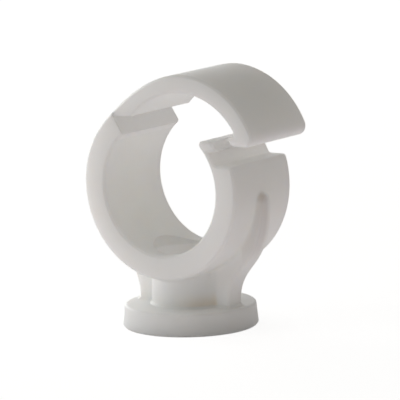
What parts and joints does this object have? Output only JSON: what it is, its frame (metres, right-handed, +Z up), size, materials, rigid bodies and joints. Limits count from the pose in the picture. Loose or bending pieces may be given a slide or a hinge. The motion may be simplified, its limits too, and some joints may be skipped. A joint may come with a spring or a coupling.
{
  "type": "pipe clip",
  "caption": "Moulded pipe clip with a round screw-down foot, a ribbed neck and a split ring closed by a living-hinge strap whose hook snaps under a barbed tongue.",
  "frame": {"origin": "middle of the foot's flat underside, where the screw hole comes out", "axes": "+Z up from the wall through the screw hole, +Y along the pipe, +X towards the catch"},
  "size_m": [0.0231, 0.0152, 0.029],
  "materials": {
    "white_plastic": "semi-matte moulded white polypropylene"
  },
  "bodies": {
    "clip": {"clip_body": "white_plastic"},
    "hinged_strap": {"strap": "white_plastic"}
  },
  "joints": [
    {"name": "strap_hinge", "type": "hinge", "parent": "clip", "child": "hinged_strap", "pos_m": [-0.00628, 0, 0.02418], "axis": [0, -1, 0], "range_deg": [-7.8, 100], "stiffness_Nm_per_rad": 0.004}
  ]
}
